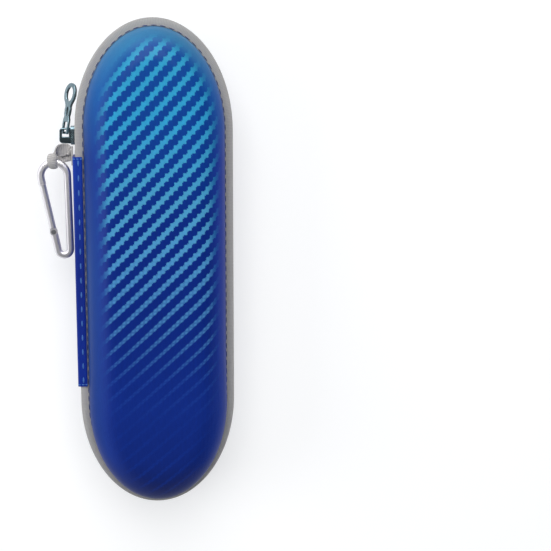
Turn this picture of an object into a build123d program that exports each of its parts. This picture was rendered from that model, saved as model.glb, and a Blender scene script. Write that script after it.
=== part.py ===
"""Hard travel case for an electric toothbrush: two moulded half shells on a folding fabric spine,
closed by a zip that runs round their rims, with a webbing loop and a snap hook at the side.

Frame, in millimetres: the closed case lies on its back. The origin is the middle of the flat base,
+Z points up through the front half, +Y runs along the case to the end where the zip pull lies, and
the spine is on the -X side.
"""

import os
from math import asin, cos, degrees, radians, sin, tan

from build123d import *

# ---- driving dimensions: the closed case ------------------------------------------------------
case_length = 240.0  # over the sewn edging, along Y
case_width = 76.0  # over the sewn edging, along X
case_height = 60.0  # both halves, along Z
end_reach = 53.5  # how far each half-elliptical end reaches past the straight sides

# ---- one half: insets run inwards from the plan of the case, heights from the parting plane ---
rim_gap = 0.15  # half the clearance between the two rims
rim_height = 8.0
rim_outer = 4.0
rim_inner = 10.5
rim_round = 1.5
binding_height = 1.2  # sewn edging that covers the foot of the shell
binding_round = 0.5
shell_clear = 0.1  # between the edging and the shell
shell_wall = 3.4
shell_draft = 1.2  # the shell leans in by this much from foot to crown
shell_round = 16.0
lining_thick = 1.0

# ---- zip ---------------------------------------------------------------------------------------
tape_inset = 1.0
tape_thick = 0.8
tape_edge = 0.6  # half the slit between the two tapes
coil_low = 0.5
coil_high = 1.7

# ---- webs across the mouths --------------------------------------------------------------------
web_sink = 2.4  # below the parting plane
web_tuck = 0.9  # how far a web's edge goes into its slit in the rim
web_clear = 0.15
strap_thick = 1.0
strap_width = 23.0
front_strap_y = 18.0
back_strap_y = -47.0
net_thick = 0.8
pocket_mouth = 16.0  # the pocket runs from here to the +Y end of the back half
pocket_band_width = 11.0
pocket_band_thick = 1.4

# ---- spine -------------------------------------------------------------------------------------
spine_length = 113.0
spine_y = -2.5
spine_thick = 1.0
spine_clear = 0.3  # between the strip and the edging
fold_height = 6.0  # the two fold lines lie this far above and below the parting plane
fold_gap = 0.3
spine_lining_thick = 0.5
ledge_cover = 4.6  # how far the strip reaches in over the edging
tab_length = 15.0  # closed ends of the zip, beyond the strip
tab_lap = 4.0  # sewn in under the strip
tab_gap = 0.4
tab_core_height = 6.0  # filler between the tapes and the strip
stop_length = 2.2
stop_proud = 0.3
flange_round = 0.8
stitch_length = 2.9
stitch_pitch = 7.1
stitch_radius = 0.35

# ---- slider and pull ---------------------------------------------------------------------------
slider_gap = 5.5  # between the strip and the slider
slider_length = 9.0
slider_half_width = 3.6
slider_clear = 0.5
outer_plate = 1.5
inner_plate = 1.1
slider_corner = 1.6
guide_clear = 0.35
post_width = 0.9
post_length = 1.8
bridge_length = 7.2
bridge_width = 1.0
bridge_wall = 1.0
bridge_round = 1.5
bridge_rise = 5.2
pull_length = 24.0  # from the hinge bar to the far end
pull_thick = 1.4
pull_roll = 34.0  # rolled about its own length
pull_lean = 11.5  # leaning in towards the edging
pull_bar = 1.2
pull_root = 1.2  # full width past the window
pull_clear = 0.15
pull_offset = 1.1  # from the middle of the bridge
pull_window_length = 5.0
pull_window_width = 3.4
pull_arm = 0.8
pull_waist_width = 4.2
pull_waist_at = 12.5
pull_eye_width = 7.4
pull_eye_length = 10.0
pull_eye_wall = 1.4
pull_slot_length = 4.2
pull_slot_width = 1.2
pull_slot_at = 10.4

# ---- webbing loop and snap hook ----------------------------------------------------------------
anchor_width = 4.8
anchor_thick = 0.7
anchor_rise = 2.0  # from the end of the strip to the middle of the loop's root
anchor_lap = 4.5  # sewn down on the strip
flap_gap = 0.4
loop_thick = 2.0
eye_width = 4.0
eye_wall = 1.0
eye_tall = 4.8  # inside, across the plane of the hook
eye_long = 5.6  # inside, along the hook
eye_round = 1.6
loop_drop = 5.2  # from the loop's root to the top of the hook
hook_bar = 3.6
hook_thick = 3.8
hook_round = 1.4
hook_bow_radius = 6.4
hook_foot_radius = 3.0
hook_reach = 36.2  # between the centres of the bow and the foot
hook_lean = 6.3
hook_clear = 1.1  # between the hook and the strip
gate_gap = 0.3
gate_pin_share = 0.26  # places along the gate side, from the foot
gate_tip_share = 0.92
gate_width = 3.2
gate_tongue = 1.4
gate_slot = 2.0
pin_radius = 0.7
pin_clear = 0.05
pin_head_radius = 1.15
pin_head = 0.3
spring_wire = 0.6
spring_length = 4.4
spring_clear = 0.2

# ---- values worked out from the ones above -----------------------------------------------------
parting = case_height / 2
half_width = case_width / 2
straight = case_length - 2 * end_reach
shell_inset = rim_outer + shell_clear
band_top = rim_height + binding_height
tape_inner = tape_inset + tape_thick
spine_in = half_width + spine_clear
spine_out = spine_in + spine_thick
fold_x = -(spine_in + spine_thick / 2)
spine_top = spine_y + spine_length / 2
stub_height = fold_height + fold_gap
gusset_length = spine_length + 2 * tab_length
slider_y = spine_top + slider_gap + slider_length / 2
anchor_y = spine_top + anchor_rise
hook_top_y = anchor_y - loop_drop
bridge_face = half_width + slider_clear + outer_plate
pull_tilt = tan(radians(pull_roll))
pull_reach = pull_thick / 2 / cos(radians(pull_roll)) + bridge_width / 2 * pull_tilt + pull_clear
pull_x = -(bridge_face + bridge_rise - bridge_wall - pull_reach)
pull_y = slider_y + pull_offset
loop_root = anchor_width / 2
loop_x = -(spine_out + anchor_thick + flap_gap + loop_root)
hook_side_x = -(spine_out + hook_clear + hook_bar / 2)
hook_top_x = hook_side_x - hook_bow_radius
hook_taper = degrees(asin((hook_bow_radius - hook_foot_radius) / hook_reach))
gate_side = (hook_reach**2 - (hook_bow_radius - hook_foot_radius) ** 2) ** 0.5

os.makedirs("parts", exist_ok=True)


def level(side, height):
    """Z of a point that lies height away from the parting plane in the front (+1) or back (-1) half."""
    return parting + side * height


def export(part, name):
    part.label = name
    export_step(part, f"parts/{name}.step")


def outline(inset, mode=Mode.ADD):
    """The plan of the case, straight sides with half-elliptical ends, drawn in by inset."""
    width = half_width - inset
    Rectangle(2 * width, straight, mode=mode)
    with Locations((0, straight / 2), (0, -straight / 2)):
        Ellipse(width, end_reach - inset, mode=mode)


def slab(x_range, y_range, z_range, mode=Mode.ADD):
    """A box between two values on each axis."""
    middle = [(low + high) / 2 for low, high in (x_range, y_range, z_range)]
    sizes = [abs(high - low) for low, high in (x_range, y_range, z_range)]
    with Locations(tuple(middle)):
        Box(*sizes, mode=mode)


# ---- shells, linings and rims ------------------------------------------------------------------
def dome(side, inset, top, rounding):
    """A solid half: the plan rises from the rim, leans in by the draft and rounds to a flat crown."""
    with BuildPart() as solid:
        with BuildSketch(Plane.XY.offset(level(side, rim_height))):
            outline(inset)
        with BuildSketch(Plane.XY.offset(level(side, top))):
            outline(inset + shell_draft)
        loft()
        fillet(solid.edges().group_by(Axis.Z)[-1 if side > 0 else 0], rounding)
    return solid.part


def bowl(side, inset, wall):
    """The dome at inset, hollowed to leave the wall; its own height follows from the inset."""
    step = inset - shell_inset
    with BuildPart() as body:
        add(dome(side, inset, parting - step, shell_round - step))
        add(dome(side, inset + wall, parting - step - wall, shell_round - step - wall), mode=Mode.SUBTRACT)
    return body.part


def ring(side, outer, inner, low, high):
    """A band that follows the plan, between two insets and between two heights."""
    with BuildPart() as band:
        with BuildSketch(Plane.XY.offset(level(side, low))):
            outline(outer)
            outline(inner, mode=Mode.SUBTRACT)
        extrude(amount=side * (high - low))
    return band.part


def web_slit(side, start, end, thick):
    """The slit that a web's edges sit in, from one Y to another: cut from the rim around it."""
    low = web_sink - web_clear
    high = web_sink + thick + web_clear
    with BuildPart() as cut:
        with BuildSketch(Plane.XY.offset(level(side, low))):
            outline(rim_inner - web_tuck - web_clear)
            with Locations((0, (start + end) / 2)):
                Rectangle(case_width, end - start + 2 * web_clear, mode=Mode.INTERSECT)
        extrude(amount=side * (high - low))
    return cut.part


def rim(side, slits):
    """Padded lip, rounded where it meets the other half."""
    with BuildPart() as body:
        add(ring(side, rim_outer, rim_inner, rim_gap, rim_height))
        fillet(body.edges().group_by(Axis.Z)[0 if side > 0 else -1], rim_round)
        for slit in slits:
            add(slit, mode=Mode.SUBTRACT)
    return body.part


def strap(side, middle):
    """Elastic strap across the mouth of a half."""
    half_span = half_width - rim_inner + web_tuck
    with BuildPart() as body:
        slab(
            (-half_span, half_span),
            (middle - strap_width / 2, middle + strap_width / 2),
            (level(side, web_sink), level(side, web_sink + strap_thick)),
        )
    return body.part


# ---- zip tapes, coils and edging ---------------------------------------------------------------
def gusset_cut(side, low, high):
    """Everything on the spine side along the strip and the zip's closed ends, between two heights."""
    with BuildPart() as cut:
        slab(
            (-case_width, -half_width + rim_outer - shell_clear),
            (spine_y - gusset_length / 2, spine_y + gusset_length / 2),
            (level(side, low), level(side, high)),
        )
    return cut.part


def zip_tape(side):
    """Tape that hangs from the edging; at the spine only its sewn root is left."""
    with BuildPart() as body:
        add(ring(side, tape_inset, tape_inner, tape_edge, rim_height))
        add(gusset_cut(side, 0, stub_height), mode=Mode.SUBTRACT)
    return body.part


def zip_coil(side):
    """Row of coiled teeth on the outer face of its tape."""
    with BuildPart() as body:
        add(ring(side, 0, tape_inset, coil_low, coil_high))
        add(gusset_cut(side, 0, rim_height), mode=Mode.SUBTRACT)
    return body.part


def edging(side):
    """Sewn edging that covers the joint of tape, rim and shell."""
    with BuildPart() as body:
        add(ring(side, 0, rim_outer, rim_height, band_top))
        fillet(body.edges().group_by(Axis.Z)[-1 if side > 0 else 0], binding_round)
    return body.part


# ---- the two halves ----------------------------------------------------------------------------
for side, half, strap_y in ((1, "front", front_strap_y), (-1, "back", back_strap_y)):
    slits = [web_slit(side, strap_y - strap_width / 2, strap_y + strap_width / 2, strap_thick)]
    if half == "back":
        slits.append(web_slit(side, pocket_mouth, case_length / 2, pocket_band_thick))
    export(bowl(side, shell_inset, shell_wall), f"{half}_shell")
    export(bowl(side, shell_inset + shell_wall, lining_thick), f"{half}_lining")
    export(rim(side, slits), f"{half}_rim")
    export(strap(side, strap_y), f"{half}_strap")
    export(zip_tape(side), f"{half}_zip_tape")
    export(zip_coil(side), f"{half}_zip_coil")
    export(edging(side), f"{half}_edging")


# ---- net pocket at the +Y end of the back half -------------------------------------------------
def pocket_sheet(start, end, thick):
    """A flat web that follows the mouth of the back half from one Y to another."""
    with BuildPart() as sheet:
        with BuildSketch(Plane.XY.offset(level(-1, web_sink))):
            outline(rim_inner - web_tuck)
            with Locations((0, (start + end) / 2)):
                Rectangle(case_width, end - start, mode=Mode.INTERSECT)
        extrude(amount=-thick)
    return sheet.part


net_start = pocket_mouth + pocket_band_width
export(pocket_sheet(pocket_mouth, net_start, pocket_band_thick), "pocket_elastic_band")
export(pocket_sheet(net_start, case_length / 2, net_thick), "pocket_net")


# ---- spine -------------------------------------------------------------------------------------
def spine_panel():
    """The strip between the two fold lines; its long edges are round about them."""
    with BuildPart() as body:
        with BuildSketch(Plane.XZ.offset(-spine_top)):
            with Locations((fold_x, parting)):
                SlotCenterToCenter(2 * fold_height, spine_thick, rotation=90)
        extrude(amount=spine_length)
    return body.part


def spine_flange(side):
    """The strip's sewn edge: it stands beside the edging and turns in over it."""
    foot = fold_height + spine_thick / 2 + fold_gap
    with BuildPart() as body:
        ends = (spine_top - spine_length, spine_top)
        tall = (level(side, foot), level(side, band_top + spine_thick))
        slab((-spine_out, -spine_in), ends, tall)
        flat = (level(side, band_top), level(side, band_top + spine_thick))
        slab((-spine_out, -spine_out + ledge_cover), ends, flat)
        corner = body.edges().filter_by(Axis.Y).sort_by(Axis.X)
        outer = corner.group_by(Axis.X)[0].sort_by(Axis.Z)[-1 if side > 0 else 0]
        fillet(outer, flange_round)
    return body.part


def spine_stitches(side):
    """Row of half-round stitches along the middle of the flange's ledge."""
    count = int((spine_length - stitch_length) / stitch_pitch) + 1
    row_x = -spine_out + ledge_cover / 2
    with BuildPart() as body:
        for index in range(count):
            end = spine_y + (index - (count - 1) / 2) * stitch_pitch + stitch_length / 2
            with BuildSketch(Plane.XZ.offset(-end)):
                with Locations((row_x, level(side, band_top + spine_thick))):
                    Circle(stitch_radius)
                with Locations((row_x, level(side, band_top + spine_thick + stitch_radius))):
                    Rectangle(2 * stitch_radius, 2 * stitch_radius, mode=Mode.INTERSECT)
            extrude(amount=stitch_length)
    return body.part


def closed_end(direction):
    """Permanently joined end of the zip, sewn in under the strip: both tapes, their teeth and a slit
    for the slider's post. It runs on from the strip's +Y (+1) or -Y (-1) end."""
    start = spine_y + direction * spine_length / 2
    root = start - direction * tab_lap
    stop = start + direction * (tab_gap + stop_length)
    end = start + direction * tab_length
    lining_face = -(spine_in - spine_lining_thick)
    with BuildPart() as body:
        slab(
            (-half_width + tape_inset, -half_width + tape_inner),
            (root, end),
            (parting - fold_height, parting + fold_height),
        )
        slab(
            (lining_face, -half_width + tape_inset),
            (root, start),
            (parting - tab_core_height / 2, parting + tab_core_height / 2),
        )
        for side in (1, -1):
            slab(
                (-half_width, -half_width + tape_inset),
                (stop, end),
                (level(side, coil_low), level(side, coil_high)),
            )
        slab(
            (-half_width, -half_width + tape_inner),
            (stop + direction * post_length, end),
            (parting - tape_edge, parting + tape_edge),
            mode=Mode.SUBTRACT,
        )
    return body.part


def end_stop(direction):
    """Metal stop clamped over the teeth beside the strip."""
    start = spine_y + direction * (spine_length / 2 + tab_gap)
    with BuildPart() as body:
        slab(
            (-half_width - stop_proud, -half_width + tape_inset),
            (start, start + direction * stop_length),
            (parting - coil_high - stop_proud, parting + coil_high + stop_proud),
        )
        fillet(body.edges().filter_by(Axis.Y).group_by(Axis.X)[0], stop_proud)
    return body.part


with BuildPart() as spine_lining:
    slab(
        (-spine_in, -spine_in + spine_lining_thick),
        (spine_top - spine_length, spine_top),
        (parting - fold_height, parting + fold_height),
    )

export(spine_panel(), "spine_strip")
export(spine_lining.part, "spine_lining")
for side, half in ((1, "front"), (-1, "back")):
    export(spine_flange(side), f"{half}_spine_flange")
    export(spine_stitches(side), f"{half}_spine_stitches")
for direction, place in ((1, "upper"), (-1, "lower")):
    export(closed_end(direction), f"{place}_zip_end")
    export(end_stop(direction), f"{place}_zip_stop")


# ---- slider and pull ---------------------------------------------------------------------------
plate_face = half_width + slider_clear
tape_back = half_width - tape_inner - slider_clear


def plate_outline():
    with Locations((slider_y, parting)):
        RectangleRounded(slider_length, 2 * slider_half_width, slider_corner)


with BuildPart() as zip_slider:
    with BuildSketch(Plane.YZ.offset(-bridge_face)):
        plate_outline()
    extrude(amount=outer_plate)
    with BuildSketch(Plane.YZ.offset(-plate_face)):
        plate_outline()
        with Locations((slider_y, parting)):
            Rectangle(slider_length, 2 * (coil_high + guide_clear), mode=Mode.SUBTRACT)
    extrude(amount=slider_clear + tape_inset - guide_clear)
    with BuildSketch(Plane.YZ.offset(-tape_back)):
        plate_outline()
    extrude(amount=inner_plate)
    post_end = slider_y - slider_length / 2 + post_length / 2
    slab(
        (-plate_face, -tape_back),
        (post_end, post_end + post_length),
        (parting - post_width / 2, parting + post_width / 2),
    )
    with BuildSketch(Plane.XY.offset(parting - bridge_width / 2)) as arch:
        with Locations((-bridge_face - bridge_rise / 2, slider_y)):
            Rectangle(bridge_rise, bridge_length)
        fillet(arch.vertices().group_by(Axis.X)[0], bridge_round)
        with Locations((-bridge_face - (bridge_rise - bridge_wall) / 2, slider_y)):
            Rectangle(bridge_rise - bridge_wall, bridge_length - 2 * bridge_wall, mode=Mode.SUBTRACT)
    extrude(amount=bridge_width)
export(zip_slider.part, "zip_slider")

pull_lie = radians(pull_lean)
pull_plane = Plane((pull_x, pull_y, parting), x_dir=(0, 0, 1), z_dir=(-cos(pull_lie), sin(pull_lie), 0))
pull_plane = pull_plane.rotated((0, pull_roll, 0))
root_width = pull_window_width + 2 * pull_arm
window_end = pull_bar / 2 + pull_window_length
eye_middle = pull_length - pull_eye_length / 2

with BuildPart() as zip_pull:
    with BuildSketch(pull_plane):
        with Locations((0, (window_end + pull_root - pull_bar / 2) / 2)):
            Rectangle(root_width, window_end + pull_root + pull_bar / 2)
        Polygon(
            (-root_width / 2, window_end),
            (root_width / 2, window_end),
            (pull_waist_width / 2, pull_waist_at),
            (pull_eye_width / 2, eye_middle),
            (-pull_eye_width / 2, eye_middle),
            (-pull_waist_width / 2, pull_waist_at),
            align=None,
        )
        with Locations((0, eye_middle)):
            Ellipse(pull_eye_width / 2, pull_eye_length / 2)
            Ellipse(
                pull_eye_width / 2 - pull_eye_wall,
                pull_eye_length / 2 - pull_eye_wall,
                mode=Mode.SUBTRACT,
            )
        with Locations((0, (pull_bar + pull_window_length) / 2)):
            Rectangle(pull_window_width, pull_window_length, mode=Mode.SUBTRACT)
        with Locations((0, pull_slot_at)):
            SlotOverall(pull_slot_length, pull_slot_width, rotation=90, mode=Mode.SUBTRACT)
    extrude(amount=pull_thick / 2, both=True)
export(zip_pull.part, "zip_pull")


# ---- webbing loop ------------------------------------------------------------------------------
with BuildPart() as loop_anchor:
    slab(
        (-spine_out - anchor_thick, -spine_out),
        (spine_top - anchor_lap, anchor_y + anchor_width / 2),
        (parting - fold_height / 2, parting + fold_height / 2),
    )
export(loop_anchor.part, "hang_loop_anchor")

with BuildPart() as hang_loop:
    eye_top = hook_top_y + eye_long / 2 + eye_wall
    with BuildSketch(Plane.XY.offset(parting - loop_thick / 2)):
        with Locations((loop_x, anchor_y)):
            Circle(loop_root)
        with Locations((hook_top_x, eye_top - eye_wall / 2)):
            Rectangle(eye_width, eye_wall)
        make_hull()
    extrude(amount=loop_thick)
    with BuildSketch(Plane.YZ.offset(hook_top_x - eye_width / 2)):
        with Locations((hook_top_y, parting)):
            RectangleRounded(eye_long + 2 * eye_wall, eye_tall + 2 * eye_wall, eye_round)
            Rectangle(eye_long, eye_tall, mode=Mode.SUBTRACT)
    extrude(amount=eye_width)
    slab(
        (hook_top_x - eye_width, hook_top_x + eye_width),
        (hook_top_y - eye_long / 2, hook_top_y + eye_long / 2),
        (parting - eye_tall / 2, parting + eye_tall / 2),
        mode=Mode.SUBTRACT,
    )
export(hang_loop.part, "hang_loop")


# ---- snap hook: a bow at the top, a smaller foot, and a sprung gate between them ----------------
hook_plane = Plane((hook_top_x, hook_top_y - hook_bow_radius, parting), z_dir=(0, 0, 1))
hook_plane = hook_plane.rotated((0, 0, hook_lean))
foot_tangent = Vector(-hook_foot_radius, 0).rotate(Axis.Z, hook_taper) + Vector(0, -hook_reach)
bow_tangent = Vector(-hook_bow_radius, 0).rotate(Axis.Z, hook_taper)
gate_plane = Plane(hook_plane.from_local_coords(foot_tangent), x_dir=hook_plane.x_dir, z_dir=(0, 0, 1))
gate_plane = gate_plane.rotated((0, 0, hook_taper))
pin_at = gate_pin_share * gate_side
tip_at = gate_tip_share * gate_side
fork_depth = gate_width / 2 + gate_gap
spring_x = hook_bar / 2 - spring_wire


def across_gate(width, start, end, thick, mode=Mode.ADD):
    """A bar along the gate side of the hook, centred on its plane."""
    with BuildSketch(gate_plane) as bar:
        with Locations((0, (start + end) / 2)):
            Rectangle(width, end - start)
    extrude(bar.sketch, amount=thick / 2, both=True, mode=mode)


def about_pin(radius, thick, mode=Mode.ADD):
    """A disc about the gate's pin, centred on the plane of the hook."""
    with BuildSketch(gate_plane) as disc:
        with Locations((0, pin_at)):
            Circle(radius)
    extrude(disc.sketch, amount=thick / 2, both=True, mode=mode)


with BuildPart() as snap_hook:
    with BuildSketch(hook_plane):
        with BuildLine():
            CenterArc((0, 0), hook_bow_radius, -hook_taper, 180 + 2 * hook_taper)
            Line(bow_tangent, foot_tangent)
            CenterArc((0, -hook_reach), hook_foot_radius, 180 + hook_taper, 180 - 2 * hook_taper)
            Line((-foot_tangent.X, foot_tangent.Y), (-bow_tangent.X, bow_tangent.Y))
        trace(line_width=hook_bar)
    extrude(amount=hook_thick / 2, both=True)
    rims = snap_hook.edges().group_by(Axis.Z)
    fillet(rims[0] + rims[-1], hook_round)
    across_gate(2 * hook_bar, pin_at, tip_at, hook_thick, mode=Mode.SUBTRACT)
    about_pin(hook_bar / 2, hook_thick)
    across_gate(2 * hook_bar, pin_at - fork_depth, pin_at + hook_bar, gate_slot, mode=Mode.SUBTRACT)
    about_pin(pin_radius + pin_clear, hook_thick, mode=Mode.SUBTRACT)
    with BuildSketch(gate_plane):
        with Locations((spring_x + hook_bar / 2, pin_at - fork_depth - spring_length / 2)):
            Rectangle(hook_bar + spring_wire + 2 * spring_clear, spring_length + 2 * spring_clear)
    extrude(amount=spring_wire / 2 + spring_clear, both=True, mode=Mode.SUBTRACT)
export(snap_hook.part, "snap_hook")

with BuildPart() as hook_gate:
    across_gate(gate_width, pin_at, tip_at - gate_gap, hook_thick)
    sides = hook_gate.edges().filter_by(GeomType.LINE).filter_by(lambda edge: edge.length > hook_bar * 2)
    fillet(sides, hook_round)
    about_pin(hook_bar / 2 + gate_gap, hook_thick, mode=Mode.SUBTRACT)
    across_gate(gate_width, pin_at, pin_at + hook_bar, gate_tongue)
    about_pin(gate_width / 2, gate_tongue)
    about_pin(pin_radius + pin_clear, gate_tongue, mode=Mode.SUBTRACT)
export(hook_gate.part, "hook_gate")

with BuildPart() as gate_pin:
    about_pin(pin_radius, hook_thick)
    for side in (1, -1):
        with BuildSketch(gate_plane.offset(side * hook_thick / 2)):
            with Locations((0, pin_at)):
                Circle(pin_head_radius)
        extrude(amount=side * pin_head)
export(gate_pin.part, "gate_pin")

with BuildPart() as gate_spring:
    spring_end = gate_plane.from_local_coords((spring_x, pin_at - fork_depth, 0))
    with BuildSketch(Plane(spring_end, z_dir=gate_plane.y_dir)):
        Circle(spring_wire / 2)
    extrude(amount=-spring_length)
export(gate_spring.part, "gate_spring")
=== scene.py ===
"""Hard travel case for an electric toothbrush: the finish of every piece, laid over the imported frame."""

from math import atan2, cos, hypot, log, pi, radians, sin

import bmesh
import bpy
from mathutils import Matrix, Vector


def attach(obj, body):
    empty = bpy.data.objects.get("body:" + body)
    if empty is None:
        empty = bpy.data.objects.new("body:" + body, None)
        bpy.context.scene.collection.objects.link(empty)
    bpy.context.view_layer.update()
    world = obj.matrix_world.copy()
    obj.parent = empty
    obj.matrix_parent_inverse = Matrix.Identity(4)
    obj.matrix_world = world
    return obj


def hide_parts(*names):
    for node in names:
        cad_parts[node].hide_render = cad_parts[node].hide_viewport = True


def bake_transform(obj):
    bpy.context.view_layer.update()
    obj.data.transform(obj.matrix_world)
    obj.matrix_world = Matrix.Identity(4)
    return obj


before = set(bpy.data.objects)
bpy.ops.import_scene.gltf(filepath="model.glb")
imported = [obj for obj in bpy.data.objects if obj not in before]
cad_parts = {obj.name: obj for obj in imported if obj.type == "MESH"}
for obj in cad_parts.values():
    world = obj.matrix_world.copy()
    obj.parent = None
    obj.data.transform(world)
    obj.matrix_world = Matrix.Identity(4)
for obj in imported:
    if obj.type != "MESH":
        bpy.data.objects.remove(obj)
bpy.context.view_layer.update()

mm = 0.001
bpy.context.scene.view_settings.view_transform = "Standard"

# ---- table, light and camera -------------------------------------------------------------------
# The case lies on a wide white table under three soft boxes, with three cards round it that only its
# gloss can see. The camera hangs above its front half and leans back towards the foot end.


def node(tree, kind, inputs=None, **settings):
    """A new node with its settings and its inputs, given as values or as sockets to link."""
    made = tree.nodes.new(kind)
    for name, value in settings.items():
        setattr(made, name, value)
    for place, value in (inputs or {}).items():
        if isinstance(value, bpy.types.NodeSocket):
            tree.links.new(value, made.inputs[place])
        else:
            made.inputs[place].default_value = value
    return made


def calc(tree, operation, *values):
    """One step of arithmetic in a shader."""
    return node(tree, "ShaderNodeMath", dict(enumerate(values)), operation=operation).outputs[0]


def unlit_share(tree):
    """1 for rays that look at or reflect the surroundings, 0 for rays that light something."""
    path = node(tree, "ShaderNodeLightPath")
    seen = calc(tree, "MAXIMUM", path.outputs["Is Camera Ray"], path.outputs["Is Glossy Ray"])
    return calc(tree, "MAXIMUM", seen, path.outputs["Is Transmission Ray"])


table_top = bpy.data.materials.new("white_table")
table_top.use_nodes = True
paint = table_top.node_tree
paint.nodes.clear()
shadowed = node(paint, "ShaderNodeBsdfDiffuse", {"Color": (0.5, 0.5, 0.5, 1)})
even = node(paint, "ShaderNodeEmission", {"Color": (1, 1, 1, 1), "Strength": 0.55})
bounced = node(paint, "ShaderNodeBsdfDiffuse", {"Color": (0.72, 0.72, 0.72, 1)})
both = node(paint, "ShaderNodeAddShader", {0: shadowed.outputs[0], 1: even.outputs[0]})
pick = node(paint, "ShaderNodeMixShader", {0: unlit_share(paint), 1: bounced.outputs[0], 2: both.outputs[0]})
node(paint, "ShaderNodeOutputMaterial", {"Surface": pick.outputs[0]})

sheet_of_table = bpy.data.meshes.new("table")
sheet_of_table.from_pydata([(-4, -4, 0), (4, -4, 0), (4, 4, 0), (-4, 4, 0)], [], [(0, 1, 2, 3)])
sheet_of_table.materials.append(table_top)
table = bpy.data.objects.new("table", sheet_of_table)
bpy.context.collection.objects.link(table)

for name, corners, strength in (
    ("end_card", ((-0.5, 0.9, 0.15), (0.4, 0.9, 0.15), (0.4, 0.7, 0.65), (-0.5, 0.7, 0.65)), 5.0),
    ("spine_card", ((-0.9, 0.5, 0.1), (-0.9, -0.5, 0.1), (-0.8, -0.5, 0.6), (-0.8, 0.5, 0.6)), 1.2),
    ("dark_card", ((0.7, -0.8, 0.0), (0.7, 0.5, 0.0), (0.5, 0.5, 0.9), (0.5, -0.8, 0.9)), 0.0),
):
    glow = bpy.data.materials.new(name)
    glow.use_nodes = True
    glow.node_tree.nodes.clear()
    shine = node(glow.node_tree, "ShaderNodeEmission", {"Color": (1, 1, 1, 1), "Strength": strength})
    node(glow.node_tree, "ShaderNodeOutputMaterial", {"Surface": shine.outputs[0]})
    leaf = bpy.data.meshes.new(name)
    leaf.from_pydata(corners, [], [(0, 1, 2, 3)])
    leaf.materials.append(glow)
    card = bpy.data.objects.new(name, leaf)
    card.visible_camera = card.visible_diffuse = card.visible_shadow = card.visible_transmission = False
    bpy.context.collection.objects.link(card)

room = bpy.data.worlds.new("white_room")
room.use_nodes = True
bpy.context.scene.world = room
air = room.node_tree
air.nodes.clear()
upwards = node(air, "ShaderNodeSeparateXYZ", {0: node(air, "ShaderNodeTexCoord").outputs["Generated"]})
height = node(air, "ShaderNodeMapRange", {0: upwards.outputs[2], 1: 0.25, 2: 0.85, 3: 1.0, 4: 0.14})
seen_air = node(air, "ShaderNodeBackground", {"Color": (1, 1, 1, 1), "Strength": height.outputs[0]})
lit_air = node(air, "ShaderNodeBackground", {"Color": (0.86, 0.92, 1.0, 1), "Strength": 0.36})
shares = {0: unlit_share(air), 1: lit_air.outputs[0], 2: seen_air.outputs[0]}
mixed_air = node(air, "ShaderNodeMixShader", shares)
node(air, "ShaderNodeOutputWorld", {"Surface": mixed_air.outputs[0]})

for name, place, aim, size, watts in (
    ("overhead_box", (-0.10, 0.75, 1.15), (0, 0.02, 0.03), 0.9, 13.5),
    ("side_box", (-1.1, 0.1, 0.7), (0, 0, 0.03), 0.7, 5.5),
    ("fill_box", (1.2, -0.2, 0.35), (0, 0, 0.03), 0.9, 2.0),
):
    box_light = bpy.data.lights.new(name, "AREA")
    box_light.shape = "SQUARE"
    box_light.size = size
    box_light.energy = watts
    lamp = bpy.data.objects.new(name, box_light)
    look = Vector(aim) - Vector(place)
    lamp.matrix_world = Matrix.Translation(place) @ look.to_track_quat("-Z", "Y").to_matrix().to_4x4()
    bpy.context.collection.objects.link(lamp)

lens = bpy.data.cameras.new("camera")
lens.sensor_width = 36.0
lens.lens = 82.6
lens.clip_start = 0.01
lean, swing, roll = 0.1693, 0.1269, 0.0009
ahead = Vector((sin(swing), -sin(lean) * cos(swing), -cos(lean) * cos(swing)))
level = ahead.cross(Vector((0, 1, 0))).normalized()
right = cos(roll) * level + sin(roll) * level.cross(ahead)
facing = Matrix((right, right.cross(ahead), -ahead)).transposed().to_4x4()
camera = bpy.data.objects.new("camera", lens)
camera.matrix_world = Matrix.Translation((-0.0206, 0.0994, 0.6533)) @ facing
bpy.context.collection.objects.link(camera)
bpy.context.scene.camera = camera


# ---- shells ------------------------------------------------------------------------------------
# Each half is one sheet of 3.4 mm foam board, pressed hot in a mould together with its blue coated
# skin. The skin is embossed with a 2/2 twill, whose bump is drawn crisp on the crown and nearly flat
# down the sides. Its colour holds painted light: the bright yarns are a painted highlight that fades
# towards the foot end and is left off the sides, the skin is painted darker towards the foot end and
# lighter towards the top end, and the sides carry a painted sheen, with a different one on the spine side.

halves = ((1, "front"), (-1, "back"))
half_width = 38.0
half_straight = 66.5
end_reach = 53.5
parting = 30.0
shell_foot, shell_round = 4.1, 16.0
board_thick, lining_thick = 3.4, 1.0


def tone(red, green, blue):
    """A colour written as it looks on a screen, 0 to 255, as the shader wants it."""
    return tuple(((c / 255 + 0.055) / 1.055) ** 2.4 if c > 10 else c / 3295 for c in (red, green, blue)) + (1,)


def tint(tree, share, low, high):
    """Blend of two colours."""
    return node(tree, "ShaderNodeMix", {0: share, 6: low, 7: high}, data_type="RGBA").outputs[2]


def finish(name, roughness=0.6, metallic=0.0):
    """A new material with its tree and its shader."""
    made = bpy.data.materials.new(name)
    made.use_nodes = True
    shader = made.node_tree.nodes["Principled BSDF"]
    shader.inputs["Roughness"].default_value = roughness
    shader.inputs["Metallic"].default_value = metallic
    return made, made.node_tree, shader


def relief(tree, shader, height, depth):
    """Bump of that depth in metres, from a height between 0 and 1."""
    bump = node(tree, "ShaderNodeBump", {"Height": height, "Distance": depth, "Strength": 1.0})
    tree.links.new(bump.outputs[0], shader.inputs["Normal"])


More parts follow.
